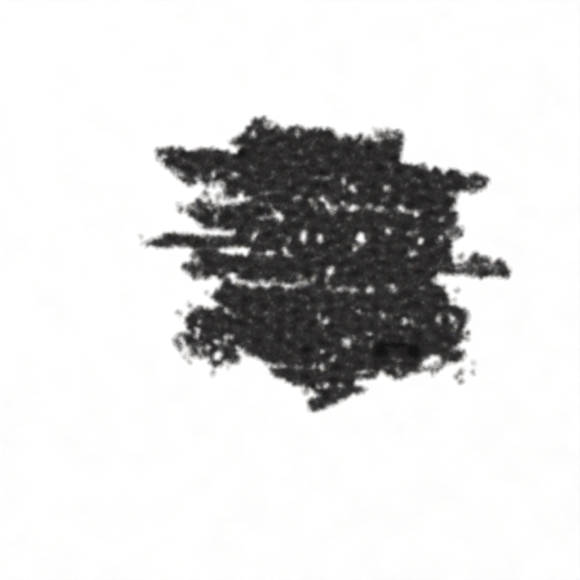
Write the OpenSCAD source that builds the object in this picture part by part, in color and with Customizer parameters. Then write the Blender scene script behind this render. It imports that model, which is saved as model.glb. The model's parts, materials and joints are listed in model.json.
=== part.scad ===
// A crayon scribble: a sheet of drawing paper with black wax crayon rubbed onto it.
// The scribble is laid pass by pass, from the top of the sheet down. Each pass is its own
// film of wax on the paper, and it butts against the passes that were laid before it.
// Origin: middle of the sheet's underside. +X runs along the passes, +Y up the sheet, +Z up.

/* [Sheet] */
// Width of the sheet, along the passes
sheet_w = 60; // [50:1:120]
// Depth of the sheet, across the passes
sheet_d = 60; // [50:1:120]
// Thickness of the drawing paper
sheet_t = 0.6; // [0.3:0.1:3]

/* [Scribble] */
// Width of the scribble, from its left flick to its right flick
mark_w = 36; // [28:1:44]
// Depth of the scribble, from its knob to the end of its tail
mark_d = 29; // [24:1:35]
// Width of the line that the worn crayon tip lays in one pass
tip_w = 2.5; // [2:0.1:3]
// Thickness of the wax film
film_t = 0.2; // [0.1:0.05:0.5]

/* [Gaps and crumbs] */
// Size of the bare gaps in the wax, 1 for the gaps of a medium tooth
gap_size = 1; // [0.5:0.05:1.2]
// Size of the loose crumbs, 1 for those of a firm crayon
crumb_size = 1; // [0.6:0.05:1.4]
// Height of the loose crumbs
crumb_t = 0.25; // [0.1:0.05:0.5]

/* [Hidden] */
// The scribble is written down for these sizes, and placed() fits it to the ones set above.
drawn_w = 36;
drawn_d = 29;
drawn_tip = 2.5;
curve_steps = 4; // straight steps between two stations of a pass
thinnest = 0.05; // least width of a pass, so that a smooth curve can't pinch it shut
sure_lap = 0.2; // a pass that laps this far under the one above it keeps its lap at every size
passes_back = 3; // a pass is cut back by as many passes before it, and no earlier one reaches it
gap_near = 1; // a gap whose middle is this close to a pass may still reach into it
gap_sides = 8;
crumb_sides = 6;
crumb_turn = 50; // degrees that a crumb is turned by for each mm of its place, so that no two match
wax = "#2b2a2a";
thin_wax = "#55534f";

// A pass is a row of stations, left to right: [x, lower edge, upper edge].
top_pass = [
    [-6.1, 14.8, 15], [-5, 14.3, 15.4], [-4.2, 13.8, 16.2], [-3, 13.6, 16.3], [-1.9, 13.6, 16.1],
    [-1.3, 13.6, 16.6], [-0.7, 13.6, 16], [0.8, 13.6, 16.5], [1.4, 13.6, 16.1], [4, 13.6, 16.1],
    [5, 13.6, 15.2], [5.8, 13.6, 15.6], [6.3, 13.6, 15], [7, 13.6, 15.7], [7.4, 13.6, 15.1],
    [7.9, 13.6, 15.4], [8.6, 13.6, 14.8], [9.4, 13.6, 15.1], [10.5, 13.9, 15.1], [11.1, 14.2, 15],
    [11.4, 14.4, 14.8]];
shoulder_pass = [
    [-5.2, 13, 14], [-4.5, 12.6, 14.3], [0, 12.5, 14.2], [5, 12.4, 14.2], [10, 12.2, 14.2],
    [10.8, 12.1, 14.2], [11.1, 12.3, 13.9]];
long_upper_pass = [
    [-13.3, 13.2, 14.1], [-12.6, 12.4, 14.1], [-12, 12.1, 14.2], [-10.8, 11.9, 14.2],
    [-10.2, 11.9, 13.9], [-9, 11.8, 14.1], [-7.5, 11.8, 14.1], [-6.4, 11.7, 13.9],
    [-5.7, 11.6, 13.6], [-4, 11.5, 13.8], [0, 11.2, 13.3], [5, 10.8, 13], [10, 10.4, 12.8],
    [11.4, 10.3, 12.7], [12.6, 10.2, 12.4], [13.4, 10.1, 12.6], [13.9, 10, 12], [14.8, 10, 12.3],
    [15.5, 9.9, 11.6], [16.1, 9.8, 12.2], [16.8, 9.8, 11.9], [17.6, 9.9, 11.4], [18.4, 9.7, 11.7],
    [19.3, 10.2, 11.5], [19.9, 10.6, 11]];
upper_pass = [
    [-11.9, 11.8, 12.2], [-11, 11.1, 12.2], [-9.7, 10.4, 12.2], [-9.2, 11, 12.2],
    [-8.2, 10.4, 12.2], [-7.8, 11, 12.1], [-7.5, 10.5, 12.1], [-6.9, 11, 12], [-6.6, 9.6, 12],
    [-6.2, 9.1, 12], [-5.7, 9.2, 12], [-4.6, 9.3, 11.9], [-2, 9, 11.8], [2, 8.7, 11.4], [6, 8.4, 11],
    [10, 8.1, 10.8], [13, 7.8, 10.5], [15, 7.7, 10.3], [16.2, 8, 10.1], [16.7, 9.3, 9.8]];
frayed_pass = [
    [-10.3, 7.7, 8.3], [-9.8, 7.2, 8.7], [-9.3, 6.9, 9.1], [-8.9, 6.4, 9.2], [-8.5, 6.2, 8.5],
    [-8, 6.1, 9.1], [-7.6, 6.1, 8.4], [-7.2, 6.1, 8.9], [-6.7, 6, 8.4], [-6, 6, 8.6],
    [-4.6, 6, 8.8], [-3, 5.9, 9.4], [0, 5.9, 9.3], [4, 5.8, 8.9], [8, 5.7, 8.5], [12, 5.7, 8.2],
    [15, 5.8, 8], [16.3, 6.3, 8], [16.8, 7, 7.7]];
thin_flick_pass = [
    [-14.3, 4.4, 4.8], [-13.2, 4.3, 5.2], [-12.4, 4.3, 5.6], [-10.5, 4.4, 5.6], [-9.8, 4.1, 5.5],
    [-8, 4, 5.4], [-6.8, 4.2, 5.4], [-5.8, 4.3, 5.5], [-5, 4.4, 6.2], [-3.4, 4, 6.2],
    [0, 3.9, 6.2], [5, 3.8, 6.1], [10, 3.7, 6.1], [14, 3.7, 6.1], [15.6, 3.8, 6.1], [16.2, 4.2, 6]];
long_middle_pass = [
    [-10.9, 2.2, 2.5], [-10.5, 1.9, 2.7], [-10, 1.7, 2.5], [-9.8, 1.3, 3.6], [-9.3, 1, 3.9],
    [-8.9, 1.4, 4.2], [-8.3, 1.1, 4.2], [-7.6, 1.5, 4.2], [-7, 1.1, 3.7], [-6, 1.7, 3.6],
    [-5.2, 1.1, 3.6], [-4.4, 0.9, 3.5], [-3.6, 0.7, 4.2], [-3, 0.9, 4.2], [-2.4, 0.7, 4.1],
    [-1.8, 0.9, 4.1], [-1, 0.7, 4], [-0.4, 0.5, 4], [0.4, 0.6, 4], [1.4, 0.9, 4], [2.6, 0.6, 4],
    [5, 0.3, 4], [8, 0.3, 3.9], [11, 0.4, 3.9],
    [13.6, 0.5, 3.9], [14.4, 1.2, 3.9], [15, 1.7, 3.9], [15.7, 1.6, 3.9], [16.1, 1.6, 3.7],
    [16.5, 1.6, 2.6], [17.4, 1.6, 2.7], [18, 1.5, 3.2], [18.5, 1.3, 3.9], [18.9, 1.2, 3.4],
    [19.9, 1.4, 3.2], [20.2, 1.4, 2.6], [20.8, 1.3, 3.1], [21.5, 1.2, 2.8], [22, 1.5, 2.1]];
middle_pass = [
    [-7.8, -0.8, -0.4], [-7.3, -1.2, 0], [-6.9, -1.5, 0.3], [-6.6, -1.7, 1.3], [-6.1, -1.8, 1.3],
    [-5.7, -1.9, 0.7], [-5, -2.1, 0.6], [-4.4, -2.1, 0.6], [-3.8, -2.1, 0.2], [-3.1, -2.1, 0.6],
    [-2.4, -2.1, 0.2], [-1.8, -2.1, 0.5], [-1.2, -2.1, 0.6], [-0.6, -2.1, 0.3], [0, -2.1, 0.1],
    [0.7, -2.1, 0.5], [1.4, -2.1, 0.6], [2.6, -2.1, 0.8], [5, -2.1, 0.5], [8, -2.1, 0.5],
    [11, -2.1, 0.6], [13.5, -2, 0.7], [14.6, -1.9, 1], [15.3, -1.8, 0.6], [15.5, -1.6, 0.1],
    [15.7, -1.5, -0.6], [16, -1.6, -1.2]];
looped_pass = [
    [-10.5, -3.3, -2.8], [-10.1, -4, -2.4], [-9.6, -4.5, -2], [-9, -4.7, -1.7], [-8, -4.7, -1.9],
    [-7, -4.7, -1.6], [-6, -4.7, -1.8], [-4, -4.6, -1.8], [0, -4.5, -1.8], [5, -4.4, -1.7],
    [10, -4.4, -1.6], [14, -4.4, -1.5], [15.8, -4.3, -1.4], [16.6, -4.1, -1.6], [17.3, -3.7, -1.8],
    [17.8, -3, -2.2]];
lower_pass = [
    [-10.7, -4.9, -4.4], [-10.2, -5.7, -4.3], [-9.9, -6.5, -4.2], [-9.4, -6.7, -4.2],
    [-8.6, -6.7, -4.3], [-7.8, -6.3, -4.4], [-7, -6, -4.4], [-5.8, -5.8, -4.4], [-4.6, -6.2, -4.4],
    [-3, -6.5, -4.3], [0, -6.6, -4.2], [5, -6.7, -4.1], [10, -6.8, -4.1], [13.6, -6.9, -4.1],
    [14.6, -6.4, -4.1], [15.6, -6.1, -4], [16.6, -5.7, -3.9], [17.2, -5.1, -3.9], [17.3, -4.7, -4.3]];
bottom_pass = [
    [-4.4, -6.5, -5.9], [-3.6, -6.6, -5.9], [-2.4, -7.3, -5.9], [-1.4, -7.6, -6], [0, -8.1, -6],
    [2, -8.9, -6.2], [4.5, -9.2, -6.3], [6.6, -8.8, -6.4], [8.2, -8.9, -6.4], [9.2, -8.1, -6.4],
    [9.8, -8.5, -6.5], [10.6, -8.9, -6.5], [11.5, -8.7, -6.5], [12, -8.3, -6.5], [12.8, -8.2, -6.5],
    [13.2, -7.8, -6.6]];
loops_pass = [
    [-8.2, -6.9, -6.2], [-7.9, -7.4, -6.2], [-7.4, -7.8, -5.9], [-6.9, -7.5, -5.8], [-6.5, -6.9, -5.7],
    [-6.1, -7.3, -5.7], [-5.5, -7.3, -5.7], [-5.1, -7.2, -6.5]];
last_pass = [
    [-2, -8.2, -7.6], [-1.5, -8.6, -7.7], [-0.7, -8.9, -7.8], [0.2, -9.4, -7.9], [1.3, -9.6, -8.2],
    [2.1, -9.9, -8.5], [2.7, -10.4, -8.8], [4, -10.6, -9], [5.5, -10.4, -8.9], [6.5, -9.8, -8.7]];

// The passes in the order in which they were laid: [name, stations, stations of the pass above].
passes = [
    ["pass_01_top", top_pass, []], ["pass_02_shoulder", shoulder_pass, top_pass],
    ["pass_03_long_upper", long_upper_pass, shoulder_pass],
    ["pass_04_upper", upper_pass, long_upper_pass], ["pass_05_frayed", frayed_pass, upper_pass],
    ["pass_06_thin_flick", thin_flick_pass, frayed_pass],
    ["pass_07_long_middle", long_middle_pass, thin_flick_pass],
    ["pass_08_middle", middle_pass, long_middle_pass], ["pass_09_looped", looped_pass, middle_pass],
    ["pass_10_lower", lower_pass, looped_pass], ["pass_11_bottom", bottom_pass, lower_pass],
    ["pass_12_last", last_pass, bottom_pass], ["lower_left_loops", loops_pass, lower_pass]];

// A short mark follows a path: [x, y, width]. It is laid after the passes.
start_knob_path = [
    [-4, 16.7, 0.5], [-3.6, 16.6, 1], [-3, 16.6, 1.2], [-2.5, 16.7, 1], [-2, 16.4, 0.5]];
tail_path = [
    [7.6, -10, 0.4], [6.9, -10, 0.6], [6, -10.1, 0.8], [4.9, -10.5, 1.1], [3.7, -11, 1.3],
    [2.8, -11.3, 1.3], [2.3, -11.5, 1.3], [1.9, -11.7, 0.9]];
top_dab_path = [
    [8.6, 15.6, 0.5], [9.4, 15.5, 0.9], [10.3, 15.5, 0.9], [10.9, 15.3, 1.1], [11.1, 15, 0.7]];
right_dab_path = [[15.6, 5.6, 1.3], [16.3, 5.8, 1.3], [16.9, 5.9, 1.1], [17.3, 6, 0.6]];
left_curl_path = [
    [-10.5, -4.5, 0.3], [-11.1, -4.6, 0.4], [-11.3, -5.1, 0.5], [-11, -5.7, 0.5], [-10.8, -6, 0.3]];
corner_curl_path = [
    [14.9, -6.3, 0.5], [15.6, -6.6, 1], [16.4, -6.6, 1.3], [17, -6.5, 1.1], [17.4, -6.5, 0.6]];
corner_fray_path = [
    [13.2, -7.9, 0.3], [13.9, -7.9, 0.5], [14.6, -7.8, 0.7], [15.2, -7.3, 0.6], [15.8, -7, 0.4]];

// [name, path, colour, pass that it starts from, and the place x and side of that pass's edge
// that it keeps its distance from (1 for the upper edge, -1 for the lower one)]
short_marks = [
    ["start_knob", start_knob_path, wax, top_pass, -3, 1],
    ["tail_stroke", tail_path, wax, last_pass, 5.5, -1],
    ["corner_curl", corner_curl_path, wax, lower_pass, 15.6, -1],
    ["top_right_dab", top_dab_path, thin_wax, top_pass, 10, 1],
    ["right_edge_dab", right_dab_path, thin_wax, frayed_pass, 16.3, -1],
    ["left_curl", left_curl_path, thin_wax, lower_pass, -10.5, 1],
    ["corner_fray", corner_fray_path, thin_wax, bottom_pass, 13, -1]];

// Bare gaps, where the tip rode over a hollow in the paper: [x, y, length, width, angle].
gaps = [
    [-12.6, 13.3, 0.6, 0.5, 0], [-7.7, 11.6, 0.8, 0.4, 80], [5.4, 10.9, 0.6, 0.4, 60],
    [6.3, 10.1, 1, 0.5, -30], [9.7, 10.2, 0.6, 0.5, 0], [3.2, 9.1, 0.7, 0.6, 0],
    [3.8, 8.4, 0.9, 0.6, -60], [4.5, 8, 0.8, 0.4, 60], [6.3, 8.2, 1.2, 0.5, 30],
    [8, 8.4, 0.7, 0.3, -20], [9, 8.1, 1, 0.3, 30], [11.2, 8.1, 0.9, 0.5, -20],
    [12.6, 7.7, 0.6, 0.6, 0], [15.1, 7, 0.7, 0.4, 30], [-1.1, 7.3, 1.1, 0.7, -70],
    [-1.6, 7.9, 0.8, 0.3, -50], [-5, 9.3, 1.2, 0.5, 60], [-5.6, 8.9, 1.5, 0.5, -10],
    [-8, 8.2, 0.8, 0.3, -45], [-3.5, 5.5, 1.1, 0.4, 50], [1.4, 5.3, 1.2, 0.7, 90],
    [3, 5.2, 1, 0.5, 75], [7.1, 5.2, 1.3, 0.9, -60], [6.5, 4.1, 0.7, 0.5, 0],
    [9.8, 5.9, 0.8, 0.5, -40], [13.1, 4.9, 0.8, 0.5, 70], [15.1, 5.3, 0.5, 0.4, 0],
    [12.2, 3.6, 0.8, 0.5, 30], [-0.5, 3.9, 0.8, 0.4, -70], [-2, 3.7, 1.1, 0.5, 0],
    [-5.7, 3.9, 2.3, 0.4, 8], [-4.4, 3.6, 0.6, 0.4, -45], [-5.7, 1.5, 0.9, 0.5, 0],
    [-3.8, 0.4, 0.8, 0.4, 30], [-2.4, 0.4, 0.8, 0.5, 0], [0, 0.3, 1, 0.3, 10],
    [4, 1.8, 1.1, 0.6, 70], [3.7, 1, 0.5, 0.3, 60], [3.9, 0.2, 0.5, 0.3, 60],
    [5.1, 0.1, 1.2, 0.3, 5], [6.4, 0, 0.8, 0.3, 15], [8, 0, 0.9, 0.4, 30],
    [10.3, 0.3, 0.6, 0.4, -45], [15, 1.4, 0.8, 0.6, 90], [15, 0.6, 0.6, 0.5, 0],
    [3.6, -3.1, 0.9, 0.3, 65], [6.9, -2.2, 0.6, 0.4, 0], [9.3, -2.6, 1, 0.3, -30],
    [11.4, -3.1, 0.6, 0.6, 0], [14.9, -2.9, 0.7, 0.4, 80], [16.2, -2.8, 0.8, 0.6, -45],
    [5.8, -5.4, 0.7, 0.5, 30], [4.3, -6.9, 0.7, 0.3, 75], [2.4, -7.6, 0.5, 0.3, 60],
    [3.2, -7.7, 0.8, 0.4, -70], [2.8, -9.6, 0.5, 0.4, 0], [3.7, -9.6, 0.6, 0.5, 0],
    [-9.3, -4.3, 1.4, 0.4, 90], [-9, -3.1, 0.4, 0.4, 0], [-7.3, -5.2, 0.6, 0.4, -30],
    [-6.3, -4.6, 0.7, 0.3, 60], [-8.2, -5.8, 0.8, 0.4, 80], [-5.3, -5.8, 0.8, 0.3, -70],
    [-7.2, -6.6, 1.2, 0.8, 60], [-6.3, -2, 0.9, 0.3, -25]];

// Loose crumbs on the bare paper: [x, y, width across].
left_crumbs = [
    [-11.2, 8.5, 0.5], [-10.9, 8, 0.5], [-8.5, 9.7, 0.5], [-7.2, 9.5, 0.4], [-15, 5.4, 0.3],
    [-14.7, 4.6, 0.3], [-10, -1.5, 0.5], [-11.1, -2.3, 0.4],
    [-8.3, -0.3, 0.3], [-10.6, -6.6, 0.3], [-10.1, -7.1, 0.4], [-7.8, -8.3, 0.4], [-6.1, -7.8, 0.3],
    [1.6, -10.1, 0.5]];
right_crumbs = [
    [17.1, 3.4, 0.5], [16.7, 0, 0.4], [16.4, -0.9, 0.3], [17.7, -4.3, 0.5], [17.7, -4.9, 0.4],
    [16.6, -8.6, 0.5],
    [17.1, -8.2, 0.5], [17.1, -9.1, 0.4], [18.3, -8.2, 0.4], [18.3, -7.3, 0.3], [14.3, -8.4, 0.3],
    [8.5, 16.1, 0.3]];

// A point of the scribble, fitted to the sizes that are set.
function placed(x, y) = [x * mark_w / drawn_w, y * mark_d / drawn_d];

// A smooth curve through a list of stations (Catmull-Rom): the point a share t of the way from
// station i to the next one.
function on_curve(p, i, t) =
    let (a = p[max(i - 1, 0)], b = p[i], c = p[i + 1], d = p[min(i + 2, len(p) - 1)])
    (2 * b + (c - a) * t + (2 * a - 5 * b + 4 * c - d) * t * t
        + (3 * b - a - 3 * c + d) * t * t * t) / 2;
function curve(p) = concat(
    [for (i = [0 : len(p) - 2]) for (k = [0 : curve_steps - 1]) on_curve(p, i, k / curve_steps)],
    [p[len(p) - 1]]);

// What a pass is at x: [x, lower edge, upper edge] as written down, on its smooth curve.
function pass_at(stations, x) =
    let (i = max(concat([0], [for (k = [0 : len(stations) - 2]) if (stations[k][0] <= x) k])),
         t = (x - stations[i][0]) / (stations[i + 1][0] - stations[i][0]))
    on_curve(stations, i, min(max(t, 0), 1));

// The height of a pass's edge for the sizes that are set: side is 1 for the upper edge and -1
// for the lower one. A wider tip moves both edges away from the line midway between them.
function fitted(s, side) =
    placed(0, (s[1] + s[2]) / 2)[1]
        + side * max(thinnest / 2, (s[2] - s[1]) / 2 * tip_w / drawn_tip);

// The upper edge of a pass. Where it laps under the pass above, it follows that pass's lower edge
// up when the scribble is made deeper or the tip narrower, so that the two still meet.
function tucked(s, x, above) =
    let (free = fitted(s, 1))
    len(above) == 0 || x < above[0][0] || x > above[len(above) - 1][0] ? free :
    let (over = pass_at(above, x), lap = s[2] - over[1], hold = min(max(lap / sure_lap, 0), 1))
    free + hold * max(0, fitted(over, -1) + lap - free);

function pass_edge(pass, side) =
    let (stations = pass[1])
    [for (i = [0 : len(stations) - 2]) for (k = [0 : curve_steps - (i < len(stations) - 2 ? 1 : 0)])
        let (t = k / curve_steps, s = on_curve(stations, i, t),
             x = stations[i][0] + (stations[i + 1][0] - stations[i][0]) * t)
        [placed(x, 0)[0], side > 0 ? tucked(s, x, pass[2]) : fitted(s, -1)]];
function reversed(list) = [for (i = [len(list) - 1 : -1 : 0]) list[i]];
function pass_outline(pass) = concat(pass_edge(pass, 1), reversed(pass_edge(pass, -1)));

// Where a short mark goes: a point of its path, moved as the edge that it keeps to has moved.
function held(mark, x, y) =
    let (edge = pass_at(mark[3], mark[4]))
    [placed(mark[4], 0)[0] + x - mark[4],
     fitted(edge, mark[5]) + y - edge[mark[5] > 0 ? 2 : 1]];

// One edge of a short mark, half its width to the left (side 1) or right (side -1) of its path.
function mark_edge(mark, side) =
    let (c = curve(mark[1]), last = len(c) - 1)
    [for (i = [0 : last])
        let (back = c[max(i - 1, 0)], ahead = c[min(i + 1, last)],
             along = [ahead[0] - back[0], ahead[1] - back[1]])
        held(mark, c[i][0], c[i][1])
            + side * c[i][2] / 2 * tip_w / drawn_tip * [-along[1], along[0]] / norm(along)];
function mark_outline(mark) = concat(mark_edge(mark, 1), reversed(mark_edge(mark, -1)));

// A gap is an ellipse with its longer axis at an angle to the passes.
function gap_outline(g) = [
    for (i = [0 : gap_sides - 1])
        let (a = 360 * i / gap_sides, u = g[2] / 2 * cos(a), v = g[3] / 2 * sin(a))
        placed(g[0], g[1]) + gap_size * [u * cos(g[4]) - v * sin(g[4]), u * sin(g[4]) + v * cos(g[4])]];

// The strip of the sheet that a pass crosses, so that only the gaps near it are cut.
function lowest(stations) = min([for (s = stations) s[1]]);
function highest(stations) = max([for (s = stations) s[2]]);

module gaps_near(low, high) {
    for (g = gaps)
        if (g[1] > low - gap_near && g[1] < high + gap_near) polygon(gap_outline(g));
}

module film(colour) {
    color(colour) translate([0, 0, sheet_t]) linear_extrude(film_t) children();
}

module paper_sheet() {
    color("white") translate([-sheet_w / 2, -sheet_d / 2, 0]) cube([sheet_w, sheet_d, sheet_t]);
}

// A pass, cut back where the earlier passes lie and where the paper shows through.
module pass(k) {
    stations = passes[k][1];
    film(wax) difference() {
        polygon(pass_outline(passes[k]));
        if (k > 0) for (j = [max(0, k - passes_back) : k - 1]) polygon(pass_outline(passes[j]));
        gaps_near(lowest(stations), highest(stations));
    }
}

// A short mark, cut back where the passes and the earlier short marks lie.
module short_mark(k) {
    path = short_marks[k][1];
    film(short_marks[k][2]) difference() {
        polygon(mark_outline(short_marks[k]));
        for (p = passes) polygon(pass_outline(p));
        if (k > 0) for (j = [0 : k - 1]) polygon(mark_outline(short_marks[j]));
        gaps_near(min([for (s = path) s[1]]), max([for (s = path) s[1]]));
    }
}

module crumbs(list) {
    color(wax)
        for (c = list)
            translate(concat(placed(c[0], c[1]), sheet_t))
                rotate(crumb_turn * (c[0] + c[1]))
                    cylinder(d = c[2] * crumb_size, h = crumb_t, $fn = crumb_sides);
}

paper_sheet();
for (k = [0 : len(passes) - 1])
    pass(k);
for (k = [0 : len(short_marks) - 1])
    short_mark(k);
crumbs(left_crumbs);  // crumbs_left
crumbs(right_crumbs);  // crumbs_right
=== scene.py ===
import json
import math

import bpy
import numpy as np
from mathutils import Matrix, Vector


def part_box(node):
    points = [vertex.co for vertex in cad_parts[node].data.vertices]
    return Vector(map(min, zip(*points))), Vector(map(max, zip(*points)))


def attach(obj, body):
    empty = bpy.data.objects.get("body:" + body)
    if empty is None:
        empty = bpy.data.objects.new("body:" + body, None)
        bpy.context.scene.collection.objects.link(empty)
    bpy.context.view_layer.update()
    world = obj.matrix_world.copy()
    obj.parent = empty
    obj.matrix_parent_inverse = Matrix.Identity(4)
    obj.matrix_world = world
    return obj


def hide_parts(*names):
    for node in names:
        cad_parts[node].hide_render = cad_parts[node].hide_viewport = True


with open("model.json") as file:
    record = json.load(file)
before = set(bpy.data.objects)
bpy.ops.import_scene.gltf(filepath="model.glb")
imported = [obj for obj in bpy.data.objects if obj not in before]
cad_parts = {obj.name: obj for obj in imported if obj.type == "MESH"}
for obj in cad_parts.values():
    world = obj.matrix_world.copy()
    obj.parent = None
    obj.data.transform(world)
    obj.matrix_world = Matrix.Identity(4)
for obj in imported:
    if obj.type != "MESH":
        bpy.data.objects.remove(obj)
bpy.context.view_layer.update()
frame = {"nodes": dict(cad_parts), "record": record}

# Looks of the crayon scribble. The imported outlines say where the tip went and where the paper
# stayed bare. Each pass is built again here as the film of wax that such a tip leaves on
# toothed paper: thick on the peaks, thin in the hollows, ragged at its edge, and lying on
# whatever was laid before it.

MM = 0.001
SHEET = "paper_sheet"
slots = {part["node"]: part["material_slot"] for part in frame["record"]["subparts"]}
wax_nodes = [node for node in slots if node != SHEET]
sheet_low, sheet_high = (np.array(corner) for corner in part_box(SHEET))

# ---------------------------------------------------------------- the wax grid

CELL = 0.08 * MM  # step of the grid that all films share
GRID_MARGIN = 1.0 * MM  # bare paper kept round the scribble
GRAIN_RANGE = 0.45  # how far the waves in a grain stray from its spacing, as a share of it
corners = np.array([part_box(node) for node in wax_nodes])
grid_x = np.arange(corners[:, 0, 0].min() - GRID_MARGIN, corners[:, 1, 0].max() + GRID_MARGIN, CELL)
grid_y = np.arange(corners[:, 0, 1].min() - GRID_MARGIN, corners[:, 1, 1].max() + GRID_MARGIN, CELL)
X, Y = np.meshgrid(grid_x, grid_y)


def frequencies(shape, step):
    """Waves per metre along Y and along X for the transform of a field with this shape and step."""
    return np.fft.fftfreq(shape[0], step)[:, None], np.fft.rfftfreq(shape[1], step)[None, :]


def smooth(field, width):
    """The field blurred by a round bell curve whose standard deviation is width."""
    wave_y, wave_x = frequencies(field.shape, CELL)
    bell = np.exp(-2 * (math.pi * width) ** 2 * (wave_x**2 + wave_y**2))
    return np.fft.irfft2(np.fft.rfft2(field) * bell, field.shape)


def grain(seed, spacing, stretch=1.0, shape=X.shape, step=CELL):
    """Seeded noise whose peaks are about spacing apart, with mean 0 and spread 1. White noise
    keeps only the waves near that spacing, by a ring-shaped bell curve in frequency. Stretch
    makes the grains that many times longer along X. Each grain has a seed of its own."""
    wave_y, wave_x = frequencies(shape, step)
    ring = np.exp(-(((np.hypot(wave_x * stretch, wave_y) * spacing - 1) / GRAIN_RANGE) ** 2))
    white = np.random.default_rng(seed).standard_normal(shape)
    noise = np.fft.irfft2(np.fft.rfft2(white) * ring, shape)
    return (noise - noise.mean()) / noise.std()


def mixed_grain(rows):
    """The sum of several grains: each row is a seed, a spacing, a stretch and a weight."""
    return sum(weight * grain(seed, spacing, stretch) for seed, spacing, stretch, weight in rows)


def sample(field, along, up, x, y):
    """The value at any points of a field on a grid that lies along these X and up these Y, by
    straight-line interpolation along X and Y."""
    col, row = (x - along[0]) / (along[1] - along[0]), (y - up[0]) / (up[1] - up[0])
    i = np.clip(col.astype(int), 0, field.shape[1] - 2)
    j = np.clip(row.astype(int), 0, field.shape[0] - 2)
    u, v = col - i, row - j
    return (
        field[j, i] * (1 - u) * (1 - v)
        + field[j, i + 1] * u * (1 - v)
        + field[j + 1, i] * (1 - u) * v
        + field[j + 1, i + 1] * u * v
    )


# ---------------------------------------------------------------- meshes

FACES_UP = 0.5  # a face is a top face if its unit normal rises more than this
CUT_CLEAR = 0.05  # a cut across a triangle's side keeps this share of it from either end


def mesh_object(name, points, triangles, amount=None, polygon=None, smooth_count=None):
    """A mesh object from arrays of points and triangles, with one more polygon if it is given
    as a list of points. The amount of wax is kept as the attribute wax_amount. Only the first
    smooth_count faces are shaded smooth, or all of them if it isn't given."""
    mesh = bpy.data.meshes.new(name)
    loops = triangles.ravel() if polygon is None else np.concatenate([triangles.ravel(), polygon])
    starts = np.arange(len(triangles) + (polygon is not None)) * 3
    mesh.vertices.add(len(points))
    mesh.vertices.foreach_set("co", np.asarray(points, np.float32).ravel())
    mesh.loops.add(len(loops))
    mesh.loops.foreach_set("vertex_index", loops.astype(np.int32))
    mesh.polygons.add(len(starts))
    mesh.polygons.foreach_set("loop_start", starts.astype(np.int32))
    mesh.polygons.foreach_set("use_smooth", np.arange(len(starts)) < (smooth_count or len(starts)))
    if amount is not None:
        layer = mesh.attributes.new("wax_amount", "FLOAT", "POINT")
        layer.data.foreach_set("value", np.asarray(amount, np.float32))
    mesh.update(calc_edges=True)
    piece = bpy.data.objects.new(name, mesh)
    bpy.context.scene.collection.objects.link(piece)
    return piece


def grid_triangles(index):
    """Two triangles for each square of a grid of point numbers. They face up where the rows of
    the grid run along X and follow each other along Y."""
    a, b, c, d = index[:-1, :-1], index[:-1, 1:], index[1:, 1:], index[1:, :-1]
    return np.concatenate([np.stack([a, b, c], -1), np.stack([a, c, d], -1)]).reshape(-1, 3)


def footprint(node):
    """1 at the grid points that lie under a node's top faces, and 0 elsewhere. Each edge of a
    top face changes the count by one on every grid row that it crosses, from its crossing
    rightwards, so a running sum along the row gives 1 inside. An edge that two faces share
    cancels itself, because both copies cross a row at the same point."""
    mesh = frame["nodes"][node].data
    mesh.calc_loop_triangles()
    points = np.empty(len(mesh.vertices) * 3)
    mesh.vertices.foreach_get("co", points)
    corner = np.empty(len(mesh.loop_triangles) * 3, np.int32)
    mesh.loop_triangles.foreach_get("vertices", corner)
    faces = points.reshape(-1, 3)[corner.reshape(-1, 3)]
    normal = np.cross(faces[:, 1] - faces[:, 0], faces[:, 2] - faces[:, 0])
    faces = faces[normal[:, 2] > FACES_UP * np.linalg.norm(normal, axis=1)]
    start, end = faces.reshape(-1, 3), np.roll(faces, -1, axis=1).reshape(-1, 3)
    falling = start[:, 1] > end[:, 1]
    below = np.where(falling[:, None], end, start)
    above = np.where(falling[:, None], start, end)
    first = np.floor((below[:, 1] - grid_y[0]) / CELL).astype(int) + 1
    last = np.floor((above[:, 1] - grid_y[0]) / CELL).astype(int)
    count = last - first + 1
    edge = np.repeat(np.arange(len(start)), count)
    row = np.arange(len(edge)) - np.repeat(np.cumsum(count) - count, count) + first[edge]
    share = (grid_y[row] - below[edge, 1]) / (above[edge, 1] - below[edge, 1])
    crossing = below[edge, 0] + share * (above[edge, 0] - below[edge, 0])
    column = np.ceil((crossing - grid_x[0]) / CELL).astype(int)
    change = np.zeros(X.shape)
    np.add.at(change, (row, column), np.where(falling[edge], 1.0, -1.0))
    return (np.cumsum(change, axis=1) > 0.5).astype(float)


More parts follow.
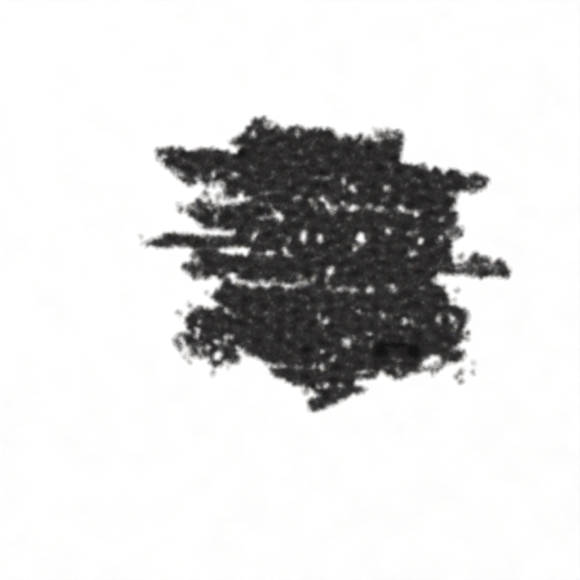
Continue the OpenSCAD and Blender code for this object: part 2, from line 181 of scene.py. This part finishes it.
def film_object(name, depth, thick, under, amount):
    """A closed film of wax over the grid points where depth is above 0. Its underside is the
    surface under, and its top lies thick above that. Every grid square is two triangles. A
    triangle that depth leaves part-way is cut on the line where depth is 0, found along its
    sides in proportion, and there a low wall joins the top's rim to the underside's. The
    underside and the wall are shaded flat, so that the top keeps its own normals."""
    cells = grid_triangles(np.arange(X.size).reshape(X.shape))
    flat = depth.ravel()
    wet = flat[cells] > 0
    full = cells[wet.all(axis=1)]

    def turned(lone_is_wet):
        """The triangles with one corner unlike the other two, turned to put that one first."""
        chosen = wet.sum(axis=1) == (1 if lone_is_wet else 2)
        lone = np.argmax(wet[chosen] == lone_is_wet, axis=1)
        return np.take_along_axis(cells[chosen], (lone[:, None] + np.arange(3)) % 3, axis=1)

    tips, stumps = turned(True), turned(False)
    rim = np.concatenate([tips[:, [0, 1]], tips[:, [0, 2]], stumps[:, [1, 0]], stumps[:, [2, 0]]])
    rim_keys, which = np.unique(rim[:, 0] * X.size + rim[:, 1], return_inverse=True)
    wet_end, dry_end = rim_keys // X.size, rim_keys % X.size
    share = np.clip(flat[wet_end] / (flat[wet_end] - flat[dry_end]), CUT_CLEAR, 1 - CUT_CLEAR)
    body = np.flatnonzero(flat > 0)
    number = np.full(X.size, -1)
    number[body] = np.arange(len(body))
    ground = np.stack([X.ravel(), Y.ravel(), under.ravel()], axis=1)
    rim_points = ground[wet_end] * (1 - share[:, None]) + ground[dry_end] * share[:, None]
    below = np.concatenate([ground[body], rim_points])
    above = below.copy()
    above[:, 2] += BLUNT_EDGE
    above[: len(body), 2] += thick.ravel()[body]
    on_rim = which.ravel() + len(body)
    tip_1, tip_2, stump_1, stump_2 = np.split(
        on_rim, np.cumsum([len(tips), len(tips), len(stumps)])
    )
    second, third = number[stumps[:, 1]], number[stumps[:, 2]]
    top = np.concatenate(
        [
            number[full],
            np.stack([number[tips[:, 0]], tip_1, tip_2], axis=1),
            np.stack([stump_1, second, third], axis=1),
            np.stack([stump_1, third, stump_2], axis=1),
        ]
    )
    start, end = np.concatenate([tip_1, stump_2]), np.concatenate([tip_2, stump_1])
    low_start, low_end = start + len(above), end + len(above)
    wall = np.stack([end, start, low_start, end, low_start, low_end], axis=1).reshape(-1, 3)
    faces = np.concatenate([top, top[:, ::-1] + len(above), wall])
    kept = amount.ravel()
    at_rim = kept[wet_end] * (1 - share) + kept[dry_end] * share
    amounts = np.tile(np.concatenate([kept[body], at_rim]), 2)
    return mesh_object(name, np.concatenate([above, below]), faces, amounts, smooth_count=len(top))


# ---------------------------------------------------------------- the sheet

PAPER_STEP = 0.25 * MM  # step of the sheet's own grid
PAPER_WAVE = 1.1 * MM  # spacing of the coarser felt marks, which the mesh carries
PAPER_RELIEF = 0.005 * MM  # spread of the height of the felt marks
MOST_RELIEF = 2 * PAPER_RELIEF  # their greatest height, and the greatest depth between them
CUT_EDGE = 0.05 * MM  # rounding of the cut edge
CUT_FUZZ = 0.015 * MM  # how unevenly the fibres end at the cut edge


def paper_relief():
    """Height of the paper's felt marks on the sheet's own grid, and that grid's X and Y."""
    inner_low, inner_high = sheet_low[:2] + CUT_EDGE, sheet_high[:2] - CUT_EDGE
    count = np.round((inner_high - inner_low) / PAPER_STEP).astype(int) + 1
    x = np.linspace(inner_low[0], inner_high[0], count[0])
    y = np.linspace(inner_low[1], inner_high[1], count[1])
    height = PAPER_RELIEF * grain(11, PAPER_WAVE, 1, (count[1], count[0]), PAPER_STEP)
    return x, y, sheet_high[2] - MOST_RELIEF + np.clip(height, -MOST_RELIEF, MOST_RELIEF)


def paper_object(x, y, height):
    """The sheet: a grid with felt marks on top, two rings that stand out at the cut edge and
    carry its fibres, a third at the foot of it, and one flat polygon that the third bounds."""
    rows, cols = height.shape
    index = np.arange(rows * cols).reshape(rows, cols)
    grid = np.stack([*np.meshgrid(x, y), height], axis=-1).reshape(-1, 3)
    border = np.concatenate([index[0, :-1], index[:-1, -1], index[-1, :0:-1], index[:0:-1, 0]])
    side = grid[border]
    outward = np.sign(np.where(np.isin(side[:, :2], [x[0], x[-1], y[0], y[-1]]), side[:, :2], 0))
    fibres = CUT_FUZZ * np.random.default_rng(12).random((2, len(border), 1))
    low = sheet_low[2]
    levels = [side[:, 2] - CUT_EDGE, low + CUT_EDGE, low]
    rings = [side.copy() for _ in levels]
    for ring, level in zip(rings, levels):
        ring[:, 2] = level
    for ring, fibre in zip(rings, fibres):
        ring[:, :2] += outward * (CUT_EDGE - fibre)
    faces = [grid_triangles(index)]
    upper = border
    for k in range(len(rings)):
        lower = rows * cols + k * len(border) + np.arange(len(border))
        faces.append(np.stack([upper, lower, np.roll(lower, -1)], 1))
        faces.append(np.stack([upper, np.roll(lower, -1), np.roll(upper, -1)], 1))
        upper = lower
    points = np.concatenate([grid, *rings])
    return mesh_object(SHEET + "_toothed", points, np.concatenate(faces), polygon=upper[::-1])


# ---------------------------------------------------------------- how the crayon was pressed

# Places where the tip rode lightly, so that the paper greys through:
# x, y, half length, half width in mm, angle in degrees, share of the wax that is missing.
LIGHT_TOUCHES = [
    (-11.3, 11.8, 0.8, 0.3, -35, 0.6), (-12.9, 12.9, 0.5, 0.3, -60, 0.5), (-9.2, 11.2, 0.4, 0.3, 60, 0.5),
    (-5.4, 11.5, 0.6, 0.2, 0, 0.7), (-3.6, 15.6, 0.4, 0.2, 100, 0.7), (0.7, 15.8, 0.5, 0.2, 90, 0.7),
    (-2.3, 16.6, 0.4, 0.4, 0, 0.6), (7.3, 15.1, 0.4, 0.2, 50, 0.6), (3.8, 11.2, 0.5, 0.2, 10, 0.4),
    (0.7, 9.2, 0.4, 0.2, 15, 0.8), (2.1, 9, 0.3, 0.2, 0, 0.6), (2.6, 8.2, 0.3, 0.2, 90, 0.6),
    (5.3, 8.7, 0.3, 0.2, -45, 0.7), (11.8, 7.9, 0.3, 0.2, 0, 0.6), (-2.7, 7.2, 0.6, 0.2, 0, 0.6),
    (-2.9, 8.6, 0.4, 0.2, -20, 0.5), (-2.4, 9.7, 0.7, 0.2, 10, 0.4), (-9.5, 8.2, 0.5, 0.4, 0, 0.5),
    (-7.4, 7.1, 0.4, 0.2, 90, 0.6), (12, 5.7, 0.3, 0.2, 0, 0.6), (12.6, 5.8, 0.3, 0.2, 0, 0.5),
    (15.8, 5.6, 0.4, 0.4, 0, 0.5), (-0.1, 5, 0.4, 0.2, 60, 0.6), (-2.9, 3.6, 0.4, 0.2, 0, 0.6),
    (-0.1, 3.5, 0.4, 0.2, -20, 0.7), (-8.2, 4.9, 0.4, 0.1, 90, 0.6), (-9.4, 3, 0.5, 0.4, 90, 0.6),
    (-9, 1.6, 0.4, 0.3, 90, 0.5), (-2.8, 1, 0.3, 0.2, 0, 0.6), (-1.7, 1, 0.3, 0.2, 45, 0.6),
    (2.4, 1.2, 0.4, 0.2, 60, 0.5), (1, 1.3, 0.3, 0.3, 0, 0.4), (13.2, 0.2, 0.3, 0.2, 0, 0.5),
    (14.5, 0.8, 0.3, 0.3, 0, 0.6), (10.4, -0.1, 0.4, 0.3, 0, 0.4), (-2.4, -2.3, 0.3, 0.2, 0, 0.4),
    (2.9, -2.6, 0.4, 0.2, 90, 0.6), (12.2, -3.1, 0.4, 0.2, -60, 0.6), (8, -4.4, 0.3, 0.2, 0, 0.7),
    (8.1, -5.5, 0.4, 0.2, 90, 0.6), (5.6, -5.1, 0.5, 0.4, 30, 0.6), (6.4, -4.8, 0.3, 0.2, 90, 0.6),
    (3.2, -6.2, 0.3, 0.2, 0, 0.7), (11, -7, 0.3, 0.2, 0, 0.5), (7.3, -8.2, 0.6, 0.2, 0, 0.7),
    (10.8, -8.1, 0.4, 0.2, -50, 0.7), (5, -9.6, 0.4, 0.2, 20, 0.6), (-1.6, -7.6, 0.4, 0.2, -30, 0.7),
    (-0.7, -7.6, 0.5, 0.2, -20, 0.6), (0.7, -7.7, 0.5, 0.2, 0, 0.5), (-9, -6.1, 0.5, 0.3, 90, 0.6),
    (-10, -6, 0.5, 0.3, 90, 0.4), (-6.5, -5.2, 0.5, 0.2, 60, 0.5), (-5.8, -4.8, 0.4, 0.2, -40, 0.6),
    (-4.9, -6.1, 0.4, 0.3, 0, 0.6), (16.6, -3.6, 0.4, 0.2, 60, 0.6), (19.6, 2.6, 0.3, 0.2, 0, 0.5),
    (16.8, 2.2, 0.4, 0.2, 0, 0.5), (18.9, 10.8, 0.4, 0.3, 30, 0.5), (18.3, 10, 0.4, 0.2, 30, 0.5),
    (16.1, 9.7, 0.3, 0.3, 0, 0.6), (-7.2, 8.6, 0.5, 0.3, 90, 0.5), (14.5, -7.8, 0.4, 0.3, 0, 0.5),
    (8.5, 8.1, 4, 0.3, -3, 0.15), (6.5, 0.1, 4, 0.3, 2, 0.15), (18.2, 2.2, 1.2, 0.5, 0, 0.25),
    (20.3, 2.3, 0.8, 0.4, 0, 0.3), (17.5, 2.4, 0.4, 0.2, 30, 0.5), (-6.7, 10.6, 0.4, 0.2, -60, 0.7),
    (-6.4, 10, 0.4, 0.1, -80, 0.5),
]
# Places where the tip was leaned on, so that the wax is burnished: the last value is how much,
# and the middle of a spot is full for a value over 1. There the wax is raised past a full film,
# which paints it darker than the wax itself: painted shade for the duller sheen of smoothed wax.
HARD_TOUCHES_PAINTED_SHADE = [
    (9.1, -6, 0.7, 0.7, 0, 1.4), (12.3, -6.1, 0.6, 0.7, 0, 1.4), (10.7, -5.5, 1.9, 0.2, 0, 1.2),
    (10.7, -6.2, 1.6, 0.5, 0, 0.3), (1.7, -5.9, 0.7, 0.3, 0, 0.8), (-5, 13.7, 0.7, 0.5, 0, 1),
    (12.6, 8.8, 0.7, 0.5, 0, 0.4), (-4.4, -1, 1.2, 0.3, 0, 0.2), (13.9, 7, 0.5, 0.4, 0, 0.3),
    (8.5, 9.3, 0.6, 0.3, 0, 0.3),
]

# Places where the tip dragged a little wax onto bare paper: the last value is how much lies there.
DRAGGED = [
    (-6.4, 1, 0.5, 0.2, 90, 0.9), (-5.2, 0.9, 0.3, 0.3, 0, 0.3), (-4.7, 0.7, 0.4, 0.3, 0, 0.35),
    (-3.1, 0.6, 0.3, 0.4, 0, 0.6), (-1.7, 0.8, 0.4, 0.4, 0, 0.7), (-1.2, 0.6, 0.4, 0.3, 0, 0.6),
    (0.9, 0.5, 0.5, 0.3, 0, 0.6), (-7.6, 10.5, 0.3, 0.2, 90, 0.6), (-6.9, 10.5, 0.3, 0.2, -60, 0.6),
    (-7.2, 9.3, 0.4, 0.2, 80, 0.5), (-8, 8.8, 0.4, 0.2, -70, 0.9), (-8.4, 9.6, 0.3, 0.2, 0, 0.8),
    (-8.2, 10.6, 0.3, 0.2, 90, 0.7), (-9.2, 8.8, 0.3, 0.3, 0, 0.6), (-6.5, 9.3, 0.3, 0.2, 70, 0.7),
]

PRESSED_HARD, RUBBED_LIGHTLY = 1.0, 0.65  # pressure on the full passes, and on the thin dabs
EDGE_SOFTNESS = 0.16 * MM  # blur over which a film dies away at its edge
PRESSURE_FADE = 2 * EDGE_SOFTNESS  # blur between the one pressure and the other
EDGE_WANDER = 0.08 * MM  # how far an edge strays from the outline
TOOTH = 0.65 * MM  # spacing of the paper's coarser peaks and hollows, as on a rough drawing paper
MOTTLE = 0.07  # how much the wax varies from place to place
HOLLOW_BITE = 0.1  # how much wax a deep hollow misses
DEEP_FROM, DEEP_MOST = 0.6, 1.5  # where a hollow starts to be deep, and the most it counts for
EDGE_TOOTH = 0.1  # how much the tooth adds or takes where wax is thin
GAP_REACH = 0.7 * MM  # blur that tells how much wax lies round a bare spot
GAP_WAX = (0.6, 0.8)  # shares of wax round a bare spot: where it starts to be a gap, and is one
GAP_DEPTH = 0.12  # how much more wax a gap loses than the blur takes from it
GAP_SOFTNESS = 0.6 * EDGE_SOFTNESS  # blur at the edge of that extra loss
HEAVIEST_WITH_PAINTED_SHADE = 1.25  # the most wax that lies anywhere, where 1 is a full film; wax past 1 is painted shade, darker than the wax itself
FAINTEST = 0.03  # less wax than this doesn't show, so the film ends here
FILM_SHARE = 0.5  # a full film is this share of the frame's, which is drawn thick
FILM = FILM_SHARE * (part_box(wax_nodes[0])[1][2] - sheet_high[2])
RIDGES = 0.1  # how much the film's thickness follows the paper's peaks, as a share of it
RIDGE_SPACING = 0.4 * MM  # spacing of those peaks, the finer ones of the tooth
TALLEST_RIDGE = 2.5  # the most that a ridge or a furrow is of the usual one
BLUNT_EDGE = 0.002 * MM  # thickness that a film still has at its very edge
SLIDE = 0.85  # share of a new film that slides off where wax already lies
SMEAR = 0.11 * MM  # how far wax is smeared, which softens every change in it
SINK = 0.004 * MM  # how far wax is pushed into the paper
SEAM_WIDTH = 0.3 * MM  # blur that decides which pass a point belongs to
SEAM_TAPER = 3  # how soon a film thins to nothing past its own ground
SEAM_LAP = 0.5  # a film ends where its claim is this share of its neighbour's

# Grains that are mixed for each effect: seed, spacing, stretch, weight.
RAGGED_EDGE = [(21, 1.2 * MM, 1, 0.6), (22, 0.6 * MM, 1, 0.8)]
HOLLOWS = [(23, 1.3 * TOOTH, 1, 0.8), (24, 2.5 * TOOTH, 1, 0.6)]
UNEVEN_WAX = [(25, 1.2 * MM, 1.5, 0.8), (26, 0.5 * MM, 1, 0.6)]


def touches(rows):
    """A field of soft oval spots, each a bell curve of its own size and angle."""
    field = np.zeros(X.shape)
    for x, y, length, width, angle, strength in rows:
        turn = math.radians(angle)
        dx, dy = X / MM - x, Y / MM - y
        along = (dx * math.cos(turn) + dy * math.sin(turn)) / length
        across = (dy * math.cos(turn) - dx * math.sin(turn)) / width
        field = np.maximum(field, strength * np.exp(-(along**2) - across**2))
    return field


def laid_wax(outlines):
    """How much wax lies at each grid point: 1 for a full film, 0 for none. It is the blurred
    outline times the pressure, less what the deepest hollows miss, with a mottle all over and
    the tooth's peaks and hollows where the wax is thin, by 4 w (1 - w), which is 1 at half wax
    and 0 at none and at full. The edge strays because the blurred outline is shifted along its
    own slope. Gaps, which have wax on every side, are emptied, and dragged wax fills a bare
    place up to its own amount."""
    mask = sum(outlines.values()).clip(0, 1)
    cover = smooth(mask, EDGE_SOFTNESS)
    slope = np.hypot(*np.gradient(cover, CELL))
    cover = cover + EDGE_WANDER * slope * mixed_grain(RAGGED_EDGE)
    inside = np.interp(smooth(mask, GAP_REACH), GAP_WAX, (0, 1))
    cover = np.clip(cover - GAP_DEPTH * smooth(inside * (1 - mask), GAP_SOFTNESS), 0, 1)
    thin = sum(mask for node, mask in outlines.items() if slots[node] == "thin_wax")
    pressure = PRESSED_HARD - (PRESSED_HARD - RUBBED_LIGHTLY) * smooth(thin, PRESSURE_FADE)
    wax = cover * pressure * (1 - touches(LIGHT_TOUCHES))
    deep = np.clip(mixed_grain(HOLLOWS) - DEEP_FROM, 0, DEEP_MOST)
    wax = wax - HOLLOW_BITE * deep * cover + MOTTLE * mixed_grain(UNEVEN_WAX) * cover
    wax = wax + EDGE_TOOTH * 4 * np.maximum(wax * (1 - wax), 0) * grain(27, TOOTH)
    # Burnished spots: painted shade, which raises the wax past a full film so that it is painted darker.
    leaned_on_painted_shade = np.clip(touches(HARD_TOUCHES_PAINTED_SHADE), 0, 1) * cover
    wax = wax + leaned_on_painted_shade * (HEAVIEST_WITH_PAINTED_SHADE - wax)
    wax = np.where(cover > FAINTEST, np.clip(wax, 0, HEAVIEST_WITH_PAINTED_SHADE), 0)
    return smooth(np.maximum(wax, touches(DRAGGED)), SMEAR)


def lay_films(outlines, under):
    """One closed film for each wax node, laid in order. Each point belongs to the pass whose
    blurred outline is strongest there. A film reaches a little further than that, onto what was
    laid before it, and raises the surface for the next one. New wax mostly slides off old wax,
    so a film is thinner by the share SLIDE of what already lies there. The thickest loose crumb
    is as thick as the frame's."""
    paper_level = under
    wax = laid_wax(outlines)
    claims = {node: smooth(mask, SEAM_WIDTH) for node, mask in outlines.items()}
    ridges = 1 + RIDGES * np.clip(grain(28, RIDGE_SPACING), -TALLEST_RIDGE, TALLEST_RIDGE)
    films = {}
    for node in outlines:
        others = np.max([claim for other, claim in claims.items() if other != node], axis=0)
        own = claims[node] - SEAM_LAP * others
        depth = np.minimum(wax - FAINTEST, SEAM_TAPER * own)
        already = np.clip((under - paper_level) / FILM, 0, 1)
        thick = FILM * np.clip(depth, 0, 1) * (1 - SLIDE * already) * ridges
        if node.startswith("crumbs"):
            thick = thick * (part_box(node)[1][2] - sheet_high[2]) / thick.max()
        films[node] = film_object(node + "_wax", depth, thick, under, wax / HEAVIEST_WITH_PAINTED_SHADE)
        under = under + thick
    return films


# ---------------------------------------------------------------- materials


def colour(code):
    """A linear colour from an sRGB hex code."""
    parts = [int(code[i : i + 2], 16) / 255 for i in (1, 3, 5)]
    return (*[p / 12.92 if p <= 0.04045 else ((p + 0.055) / 1.055) ** 2.4 for p in parts], 1)


def add(tree, kind, values=None, stops=(), **settings):
    """Adds a node, sets its properties, and sets or links its inputs by name or number. Stops
    are a colour ramp's places and sRGB hex codes, in order. Gives the node's outputs."""
    node = tree.nodes.new(kind)
    for name, value in settings.items():
        setattr(node, name, value)
    for name, value in (values or {}).items():
        if isinstance(value, bpy.types.NodeSocket):
            tree.links.new(value, node.inputs[name])
        else:
            node.inputs[name].default_value = value
    for number, (place, code) in enumerate(stops):
        points = node.color_ramp.elements
        point = points[number] if number < len(points) else points.new(place)
        point.position, point.color = place, colour(code)
    return node.outputs


def new_material(name):
    """A material without nodes yet, its node tree, and the place on the object in mm."""
    material = bpy.data.materials.new(name)
    material.use_nodes = True
    tree = material.node_tree
    tree.nodes.clear()
    place = add(tree, "ShaderNodeTexCoord")["Object"]
    scale = (1 / MM, 1 / MM, 1 / MM)
    return material, tree, add(tree, "ShaderNodeVectorMath", {0: place, 1: scale}, operation="MULTIPLY")[0]


FELT_MARKS = 0.4  # mm between the finer marks that the felt leaves in the paper
FIBRES = 0.12  # mm between its fibres, a few times coarser than real ones so that they show
CLOUDS = 3.0  # mm between its whiter and duller patches


def drawing_paper():
    """White cotton drawing paper, mould-made and uncoated. It gives the eye a bright, quite
    matt white with a fine tooth that only shows in slanting light."""
    material, tree, place = new_material("uncoated_drawing_paper")
    clouds = add(tree, "ShaderNodeTexNoise", {"Vector": place, "Scale": 1 / CLOUDS, "Detail": 3.0})[0]
    tint = add(tree, "ShaderNodeValToRGB", {0: clouds}, [(0.3, "#f8f8f8"), (0.7, "#fcfcfc")])[0]
    felt = add(tree, "ShaderNodeTexNoise", {"Vector": place, "Scale": 1 / FELT_MARKS, "Roughness": 0.6})[0]
    fibres = add(tree, "ShaderNodeTexNoise", {"Vector": place, "Scale": 1 / FIBRES, "Detail": 1.0})[0]
    height = add(tree, "ShaderNodeMath", {0: fibres, 1: 0.4, 2: felt}, operation="MULTIPLY_ADD")[0]
    relief = add(tree, "ShaderNodeBump", {"Height": height, "Strength": 0.5, "Distance": 0.06 * MM})[0]
    look = {"Base Color": tint, "Normal": relief, "Roughness": 0.9, "IOR": 1.45, "Specular IOR Level": 0.2}
    shader = add(tree, "ShaderNodeBsdfPrincipled", look)[0]
    add(tree, "ShaderNodeOutputMaterial", {"Surface": shader})
    return material


SPECKS = 0.14  # mm between the specks of a thin film, on the finest peaks of the paper
SPECK_DEPTH = 0.6  # how strongly the specks stand out where the film is thin
SMEARS = 0.25  # mm between the smears on the wax
TINTS = 0.8  # mm between its browner and bluer patches

# Colour of the wax over white paper for an amount of wax, where 1 is a full film. The tones past a
# full film are painted shade, darker than the wax itself.
WAX_TONES = [
    (0.0, "#f7f7f6"), (0.2, "#d2d1d1"), (0.4, "#a7a6a5"), (0.6, "#7b7a79"), (0.8, "#504f4e"),
    (0.92, "#333232"), (1.02, "#252323"), (1.2, "#040404"),
]


def crayon_wax(name):
    """Black paraffin crayon rubbed onto toothed paper. Full wax is a charcoal black with a low
    waxy sheen, and where the film is thin it is speckled on the paper's peaks, so that the
    white greys it, and the pigment is here a little brown and there a little blue."""
    material, tree, place = new_material(name)
    amount = add(tree, "ShaderNodeAttribute", attribute_name="wax_amount")["Fac"]
    missing = add(tree, "ShaderNodeMath", {0: 1 / HEAVIEST_WITH_PAINTED_SHADE, 1: amount}, operation="SUBTRACT")[0]
    thinness = add(tree, "ShaderNodeMath", {0: missing, 1: amount}, operation="MULTIPLY")[0]
    peaks = add(tree, "ShaderNodeTexNoise", {"Vector": place, "Scale": 1 / SPECKS, "Detail": 1.0})[0]
    reach = {"Value": peaks, "From Min": 0.25, "From Max": 0.75}
    reach |= {"To Min": -SPECK_DEPTH, "To Max": SPECK_DEPTH}
    specks = add(tree, "ShaderNodeMapRange", reach)[0]
    speckled = add(tree, "ShaderNodeMath", {0: thinness, 1: specks, 2: amount}, operation="MULTIPLY_ADD")[0]
    stops = [(wax / HEAVIEST_WITH_PAINTED_SHADE, code) for wax, code in WAX_TONES]
    tone = add(tree, "ShaderNodeValToRGB", {0: speckled}, stops)[0]
    patches = add(tree, "ShaderNodeTexNoise", {"Vector": place, "Scale": 1 / TINTS})[0]
    tint = add(tree, "ShaderNodeValToRGB", {0: patches}, [(0.35, "#fff3ea"), (0.65, "#eef3ff")])[0]
    mixed = {0: amount, 6: tone, 7: tint}  # the factor and the two colours of a colour mix
    shade = add(tree, "ShaderNodeMix", mixed, data_type="RGBA", blend_type="MULTIPLY")[2]
    smears = add(tree, "ShaderNodeTexNoise", {"Vector": place, "Scale": 1 / SMEARS})[0]
    gloss = add(tree, "ShaderNodeMapRange", {"Value": smears, "To Min": 0.35, "To Max": 0.55})[0]
    relief = add(tree, "ShaderNodeBump", {"Height": smears, "Strength": 0.4, "Distance": 0.02 * MM})[0]
    look = {"Base Color": shade, "Normal": relief, "Roughness": gloss, "IOR": 1.44}
    look["Specular IOR Level"] = 0.15
    shader = add(tree, "ShaderNodeBsdfPrincipled", look)[0]
    add(tree, "ShaderNodeOutputMaterial", {"Surface": shader})
    return material


# ---------------------------------------------------------------- the object

relief_x, relief_y, relief = paper_relief()
paper = paper_object(relief_x, relief_y, relief)
outlines = {node: footprint(node) for node in wax_nodes}
ground = sample(relief, relief_x, relief_y, X, Y) - SINK
films = lay_films(outlines, ground)

finishes = {
    "paper": drawing_paper(),
    "wax": crayon_wax("black_crayon_wax"),
    "thin_wax": crayon_wax("black_crayon_wax_rubbed_thin"),
}
for node, piece in {SHEET: paper, **films}.items():
    piece.data.materials.append(finishes[slots[node]])
    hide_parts(node)
    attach(piece, "root")

# ---------------------------------------------------------------- floor, light and camera

FLOOR_HALF = 2.0  # metres from the middle of the floor to its edge
FLOOR_GAP = 0.02 * MM  # keeps the floor clear of the sheet's underside
VIEW_WIDTH = 58 * MM  # width of paper that the picture takes in
LENS, SENSOR = 100, 36  # focal length and width of the sensor in mm
NEAREST = 0.01  # metres from the camera to the nearest thing that it shows

# Square area lights: name, place and size in metres, power in watts.
SOFT_LIGHTS = [
    ("key_light", (-1.2, 0.8, 1.3), 1.0, 32.8),
    ("fill_light", (1.3, -0.6, 1.1), 1.2, 20),
]


def studio_floor():
    """A plain pale floor, wide enough to fill every view."""
    level = sheet_low[2] - FLOOR_GAP
    square = FLOOR_HALF * np.array([(-1, -1), (1, -1), (1, 1), (-1, 1)])
    points = np.array([(x, y, level) for x, y in square])
    floor = mesh_object("studio_floor", points, np.array([(0, 1, 2), (0, 2, 3)]))
    material, tree, _ = new_material("matt_studio_floor")
    look = {"Base Color": colour("#d4d3d0"), "Roughness": 0.9}
    shader = add(tree, "ShaderNodeBsdfPrincipled", look)[0]
    add(tree, "ShaderNodeOutputMaterial", {"Surface": shader})
    floor.data.materials.append(material)


def soft_light(name, place, size, power):
    """A square area light that faces the middle of the sheet."""
    lamp = bpy.data.lights.new(name, "AREA")
    lamp.size, lamp.energy = size, power
    light = bpy.data.objects.new(name, lamp)
    light.location = place
    towards = -light.location
    light.rotation_mode = "QUATERNION"
    light.rotation_quaternion = towards.to_track_quat("-Z", "Y")
    bpy.context.scene.collection.objects.link(light)


def studio_sky():
    """A studio that is pale at floor level and dark overhead, so that the wax's sheen stays low
    from above. Its brightness follows the height of the direction looked in, from 0 level to 1
    straight up."""
    world = bpy.data.worlds.new("studio")
    bpy.context.scene.world = world
    world.use_nodes = True
    tree = world.node_tree
    tree.nodes.clear()
    direction = add(tree, "ShaderNodeTexCoord")["Generated"]
    height = add(tree, "ShaderNodeSeparateXYZ", {0: direction})["Z"]
    stops = [(0.0, "#dad9d6"), (0.15, "#cfcecb"), (0.5, "#6a6a69"), (1.0, "#515150")]
    glow = add(tree, "ShaderNodeValToRGB", {0: height}, stops)[0]
    sky = add(tree, "ShaderNodeBackground", {"Color": glow})[0]
    add(tree, "ShaderNodeOutputWorld", {"Surface": sky})


studio_floor()
for name, place, size, power in SOFT_LIGHTS:
    soft_light(name, place, size, power)
studio_sky()

camera_data = bpy.data.cameras.new("camera")
camera_data.lens, camera_data.sensor_width = LENS, SENSOR
camera_data.clip_start = NEAREST
camera = bpy.data.objects.new("camera", camera_data)
camera.location = (0, 0, sheet_high[2] + VIEW_WIDTH * LENS / SENSOR)
bpy.context.scene.collection.objects.link(camera)
bpy.context.scene.camera = camera
bpy.context.scene.view_settings.view_transform = "Standard"
